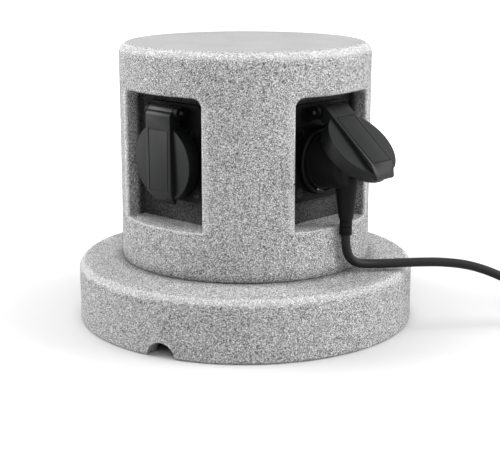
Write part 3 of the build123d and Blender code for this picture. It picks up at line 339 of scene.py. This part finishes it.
def stone(name, value, grain, top_polish, tint=(0.0, 0.0, 0.0)):
    """Cast stone: fine grit of many tones in a grey ground, with small pits; painted highlights on
    rounded edges and at the pockets' mouths; painted shade within the pockets and at the joint.
    """
    g = Graph(name)
    facing = g.add("ShaderNodeSeparateXYZ", "Z", Vector=g.facing)
    across = g.add("ShaderNodeSeparateXYZ", "X", Vector=g.place)
    along, height = across.node.outputs["Y"], across.node.outputs["Z"]
    out = g.math("SQRT", g.math("ADD", g.times(across, across), g.times(along, along)))
    above_pockets = g.ramp(height, POCKET_HIGH, POCKET_HIGH + POCKET_FADE_LOW)
    on_top = g.times(g.ramp(facing, *TOP_FACING), above_pockets)
    rough_face = g.math("SUBTRACT", 1.0, g.times(on_top, top_polish))
    # Painted highlight: faces that lean between level and upright, the rounded edges, are painted
    # paler, as if they caught more light
    edge_highlight = g.times(g.ramp(facing, *EDGE_FACING_LOW), g.ramp(facing, *EDGE_FACING_HIGH))

    cloud = g.ramp(g.noise(*CLOUD), *CLOUD_RANGE)
    ground = g.mix(cloud, *(grey(value * tone, tint) for tone in CLOUD_TONES))
    patch = g.times(g.ramp(g.noise(*PATCH), *PATCH_RANGE), rough_face)
    ground = g.mix(patch, ground, g.mix(1.0, ground, grey(PATCH_TONE), "MULTIPLY"))
    # The painted highlight's colour, mixed in on the rounded edges
    edge_highlight_colour = grey(min(PALEST_GROUND, value * EDGE_HIGHLIGHT_TONE), tint)
    ground = g.mix(g.times(edge_highlight, EDGE_HIGHLIGHT_SHARE), ground, edge_highlight_colour)

    inside = g.times(
        g.ramp(height, POCKET_LOW - POCKET_FADE_LOW, POCKET_LOW),
        g.ramp(height, POCKET_HIGH + POCKET_FADE_HIGH, POCKET_HIGH),
    )
    beside = g.math("MINIMUM", g.math("ABSOLUTE", across), g.math("ABSOLUTE", along))
    # Painted highlight: a paler band on the column's face beside each pocket's mouth
    mouth_highlight = g.ramp(g.away(beside, POCKET_JAMB + MOUTH_SHIFT), MOUTH_EDGE, MOUTH_FULL)
    at_face = g.ramp(out, *(COLUMN_R - depth for depth in MOUTH_DEPTH))
    mouth_highlight = g.times(g.times(mouth_highlight, inside), at_face)
    mouth_highlight_colour = grey(min(PALEST_GROUND, value * MOUTH_HIGHLIGHT_TONE), tint)
    ground = g.mix(g.times(mouth_highlight, MOUTH_HIGHLIGHT_SHARE), ground, mouth_highlight_colour)
    # All painted highlights together, on rounded edges and at pocket mouths
    painted_highlight = g.math("MAXIMUM", edge_highlight, mouth_highlight)

    surface = ground
    relief = g.times(g.noise(grain, *GRAIN_DETAIL), GRAIN_RELIEF)
    for finer, shift, pale_share, dark_share in GRIT_LAYERS:
        far, chance, size = g.cells(grain * finer, shift)
        reach = g.ramp(size, 0.0, 1.0, *GRIT_REACH)
        grit = g.times(g.ramp(far, reach, GRIT_CORE), rough_face)
        pale = g.times(grit, g.math("LESS_THAN", chance, pale_share))
        dark = g.times(grit, g.math("GREATER_THAN", chance, 1.0 - dark_share))
        dark = g.times(dark, g.ramp(painted_highlight, 0.0, 1.0, 1.0, GRIT_DARK_ON_EDGES))
        surface = g.mix(pale, surface, grey(min(GRIT_PALEST, value * GRIT_PALE)))
        surface = g.mix(dark, surface, grey(value * GRIT_DARK))
        raised = g.math("SUBTRACT", g.times(pale, PALE_RELIEF), dark)
        relief = g.math("ADD", relief, raised)

    far, chance, _ = g.cells(*POINTS)
    point = g.times(g.ramp(far, *POINT_REACH), rough_face)
    spark = g.times(point, g.math("LESS_THAN", chance, SPARK_CHANCE))
    surface = g.mix(spark, surface, grey(GRIT_PALEST))
    speck = g.times(point, g.math("GREATER_THAN", chance, SPECK_CHANCE))
    surface = g.mix(speck, surface, grey(value * SPECK_TONE))

    far, chance, _ = g.cells(*PITS)
    pit = g.times(g.ramp(far, *PIT_REACH), g.math("LESS_THAN", chance, PIT_CHANCE))
    pit = g.times(pit, rough_face)
    surface = g.mix(g.times(pit, PIT_SHARE), surface, grey(value * PIT_TONE))
    relief = g.math("SUBTRACT", relief, g.times(pit, PIT_DEPTH))

    # Painted shade inside the pockets, darker further in from the column's face, strongest on the
    # walls and weaker on the floors
    pocket_shade = g.times(inside, g.ramp(out, COLUMN_R - DEEP_FROM, COLUMN_R - DEEP_FULL))
    pocket_shade = g.times(pocket_shade, g.ramp(facing, *FLOOR_FACING, DEEP_WALL_SHADE, DEEP_FLOOR_SHADE))
    # Painted shade on both stones near the seam between column and plinth
    above = g.ramp(g.away(height, SEAT_Z), JOINT_SHADE, 0.0)
    around = g.ramp(g.away(out, COLUMN_R), JOINT_SHADE, 0.0)
    shade = g.math("MAXIMUM", pocket_shade, g.times(g.times(above, around), JOINT_SHADE_SHARE))
    surface = g.mix(shade, surface, g.mix(1.0, surface, grey(SHADE_TONE), "MULTIPLY"))

    g.put(g.shader.inputs["Base Color"], surface)
    g.put(g.shader.inputs["Roughness"], g.ramp(rough_face, 0.0, 1.0, *STONE_ROUGHNESS))
    g.shader.inputs["Specular IOR Level"].default_value = STONE_GLOSS
    g.bump(relief, STONE_BUMP, STONE_RELIEF)
    return g.material


# Plastic and metal: each noise with its scale, detail and roughness
PLASTIC_CLOUD = (60.0, 3.0, 0.6)
PLASTIC_CLOUD_RANGE = (0.3, 0.7)
PLASTIC_SHADE = 0.88
PLASTIC_WEAR_RANGE = (0.25, 0.75)
PLASTIC_WEAR = (-0.04, 0.05)
METAL_STREAK = (900.0, 2.0, 0.6)
METAL_CLOUD = (140.0, 3.0, 0.6)
METAL_CLOUD_RANGE = (0.3, 0.75)
METAL_SHADE = 0.8
METAL_WEAR_RANGE = (0.2, 0.8)
METAL_WEAR = (-0.06, 0.1)
METAL_BUMP = 0.12
FINE_RELIEF = 0.0001


def shades(colour, share):
    """A colour and its darker shade, darker one first, as node colours."""
    return tuple(c * share for c in colour) + (1.0,), colour + (1.0,)


def moulded(name, colour, rough, grain, depth, specular=0.5):
    """Moulded plastic or rubber: an even colour with a fine grain and slight wear."""
    g = Graph(name)
    cloud = g.noise(*PLASTIC_CLOUD)
    speck = g.noise(grain, *GRAIN_DETAIL)
    shade = g.mix(g.ramp(cloud, *PLASTIC_CLOUD_RANGE), *shades(colour, PLASTIC_SHADE))
    wear = g.ramp(cloud, *PLASTIC_WEAR_RANGE, *(rough + change for change in PLASTIC_WEAR))
    g.put(g.shader.inputs["Base Color"], shade)
    g.put(g.shader.inputs["Roughness"], wear)
    g.shader.inputs["Specular IOR Level"].default_value = specular
    g.bump(speck, depth, FINE_RELIEF)
    return g.material


def metal(name, colour, rough):
    """Turned or pressed metal with fine marks."""
    g = Graph(name)
    streak = g.noise(*METAL_STREAK)
    cloud = g.noise(*METAL_CLOUD)
    shade = g.mix(g.ramp(cloud, *METAL_CLOUD_RANGE), *shades(colour, METAL_SHADE))
    wear = g.ramp(streak, *METAL_WEAR_RANGE, *(rough + change for change in METAL_WEAR))
    g.put(g.shader.inputs["Base Color"], shade)
    g.put(g.shader.inputs["Roughness"], wear)
    g.shader.inputs["Metallic"].default_value = 1.0
    g.bump(streak, METAL_BUMP, FINE_RELIEF)
    return g.material


# One finish for each of the record's slots. Stone: tone, grain, polish of the top, and tint.
# Plastic and rubber: colour, roughness, grain, bump and gloss. Metal: colour and roughness
finishes = {
    "column_stone": stone("column stone", 0.305, 2050.0, 0.95),
    "plinth_stone": stone("plinth stone", 0.293, 2050.0, 0.0, (0.0, 0.0, 0.003)),
    "housing_plastic": moulded("housing plastic", (0.003, 0.003, 0.0033), 0.45, 1800.0, 0.12, 0.08),
    "lid_plastic": moulded("lid plastic", (0.004, 0.0045, 0.0045), 0.38, 2200.0, 0.15, 0.2),
    "carrier_plastic": moulded("carrier plastic", (0.008, 0.008, 0.008), 0.45, 1800.0, 0.12, 0.35),
    "seal_rubber": moulded("seal rubber", (0.012, 0.012, 0.012), 0.7, 2600.0, 0.2, 0.25),
    "steel": metal("steel", (0.56, 0.56, 0.57), 0.3),
    "screw_steel": metal("screw steel", (0.03, 0.03, 0.032), 0.4),
    "plate_plastic": moulded("plate plastic", (0.075, 0.075, 0.08), 0.48, 1500.0, 0.2),
    "block_plastic": moulded("block plastic", (0.62, 0.61, 0.57), 0.5, 1500.0, 0.15),
    "lead_sheath": moulded("lead sheath", (0.05, 0.05, 0.052), 0.5, 2000.0, 0.2),
    "brass": metal("brass", (0.72, 0.52, 0.24), 0.32),
    "plated_contact": metal("plated contact", (0.62, 0.61, 0.58), 0.25),
    "plug_rubber": moulded("plug rubber", (0.005, 0.005, 0.005), 0.6, 2400.0, 0.2, 0.1),
    "cord_sheath": moulded("cord sheath", (0.0085, 0.0085, 0.0085), 0.5, 2600.0, 0.2, 0.2),
    "coupler_plastic": moulded("coupler plastic", (0.010, 0.010, 0.011), 0.45, 2000.0, 0.2, 0.35),
}


def dress(piece, material):
    piece.data.materials.clear()
    piece.data.materials.append(material)


slots = {entry["node"]: entry["material_slot"] for entry in record["subparts"]}
for name, piece in nodes.items():
    dress(piece, finishes[slots[name]])
dress(lead, finishes["cord_sheath"])

# The lids, moulded pieces, with their sharp edges rounded, as they come out of a mould
LID_EDGE_RADIUS = 0.0006
EDGE_SEGMENTS = 3
EDGE_ANGLE = 35.0
FLAT_ANGLE = 0.6
WELD = 1e-6


def rounded(name, body, radius):
    """A piece that stands for the node, the same but for its rounded edges."""
    mesh = nodes[name].data.copy()
    shape = bmesh.new()
    shape.from_mesh(mesh)
    bmesh.ops.remove_doubles(shape, verts=shape.verts, dist=WELD)
    bmesh.ops.dissolve_limit(
        shape, angle_limit=math.radians(FLAT_ANGLE),
        verts=shape.verts, edges=shape.edges, use_dissolve_boundaries=False,
    )
    shape.to_mesh(mesh)
    shape.free()
    mesh.name = f"{name}_rounded"
    made = bpy.data.objects.new(f"{name}_rounded", mesh)
    bpy.context.scene.collection.objects.link(made)
    for face in mesh.polygons:
        face.use_smooth = True
    bevel = made.modifiers.new("edges", "BEVEL")
    bevel.width = radius
    bevel.segments = EDGE_SEGMENTS
    bevel.limit_method = "ANGLE"
    bevel.angle_limit = math.radians(EDGE_ANGLE)
    bevel.harden_normals = True
    bevel.use_clamp_overlap = True
    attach(made, body)
    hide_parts(name)
    dress(made, finishes[slots[name]])


for place in ("front", "right", "back", "left"):
    rounded(f"lid_{place}", f"lid_{place}", LID_EDGE_RADIUS)


# Floor: pale, and white to the camera away from the object, whose soft shadow it keeps
def seen(tree):
    """One where the floor is seen directly, in a reflection or through something."""
    path = tree.nodes.new("ShaderNodeLightPath")
    total = path.outputs["Is Camera Ray"]
    for other in ("Is Glossy Ray", "Is Transmission Ray"):
        both = tree.nodes.new("ShaderNodeMath")
        both.operation = "MAXIMUM"
        tree.links.new(total, both.inputs[0])
        tree.links.new(path.outputs[other], both.inputs[1])
        total = both.outputs[0]
    return total


FLOOR_SIZE = 9.0
FLOOR_COLOUR = (0.6, 0.6, 0.6, 1.0)
FLOOR_ROUGHNESS = 0.9
WHITE = (1.0, 1.0, 1.0, 1.0)
GLOW_REACH = (0.1, 0.5)
GLOW_LEVEL = (0.05, 1.0)
GLOW_EDGE = 0.004
floor_data = bpy.data.meshes.new("floor")
corners = [(-1, -1), (1, -1), (1, 1), (-1, 1)]
floor_data.from_pydata([(FLOOR_SIZE * x, FLOOR_SIZE * y, 0.0) for x, y in corners], [], [(0, 1, 2, 3)])
floor = bpy.data.objects.new("floor", floor_data)
bpy.context.scene.collection.objects.link(floor)
floor_graph = Graph("floor")
floor_graph.shader.inputs["Base Color"].default_value = FLOOR_COLOUR
floor_graph.shader.inputs["Roughness"].default_value = FLOOR_ROUGHNESS
floor_graph.shader.inputs["Specular IOR Level"].default_value = 0.0
floor_graph.shader.inputs["Emission Color"].default_value = WHITE
spot = floor_graph.add("ShaderNodeVectorMath", "Value", {"operation": "LENGTH"})
floor_graph.put(spot.node.inputs[0], floor_graph.place)
open_floor = floor_graph.ramp(spot, PLINTH_R - GLOW_EDGE, PLINTH_R, smooth=False)
glow = floor_graph.ramp(spot, *GLOW_REACH, *GLOW_LEVEL)
glow = floor_graph.times(glow, floor_graph.times(open_floor, seen(floor_graph.tree)))
floor_graph.put(floor_graph.shader.inputs["Emission Strength"], glow)
floor_data.materials.append(floor_graph.material)

# World and lamps
WORLD_LEVEL = 0.32
world = bpy.data.worlds.new("world")
bpy.context.scene.world = world
world.use_nodes = True
sky = world.node_tree
background = sky.nodes["Background"]
background.inputs["Color"].default_value = WHITE
span = sky.nodes.new("ShaderNodeMapRange")
sky.links.new(seen(sky), span.inputs["Value"])
span.inputs["To Min"].default_value = WORLD_LEVEL
span.inputs["To Max"].default_value = 1.0
sky.links.new(span.outputs[0], background.inputs["Strength"])


def soft_lamp(name, place, target, size, power):
    data = bpy.data.lights.new(name, "AREA")
    data.shape = "SQUARE"
    data.size = size
    data.energy = power
    lamp = bpy.data.objects.new(name, data)
    lamp.location = place
    lamp.rotation_euler = (Vector(target) - Vector(place)).to_track_quat("-Z", "Y").to_euler()
    bpy.context.scene.collection.objects.link(lamp)


# Each lamp's place, side in metres and power in watts; all point at the middle
MIDDLE = (0.0, 0.0, 0.1)
LAMPS = {
    "lamp above": ((0.0, 0.0, 1.6), 1.2, 20.5),
    "lamp left": ((-1.25, -0.95, 0.7), 1.0, 21.5),
    "lamp right": ((1.25, 0.85, 0.7), 1.0, 21.0),
    "lamp front": ((0.85, -0.9, 1.0), 0.8, 6.0),
}
for lamp_name, (lamp_place, lamp_size, lamp_power) in LAMPS.items():
    soft_lamp(lamp_name, lamp_place, MIDDLE, lamp_size, lamp_power)

bpy.context.scene.view_settings.view_transform = "Standard"
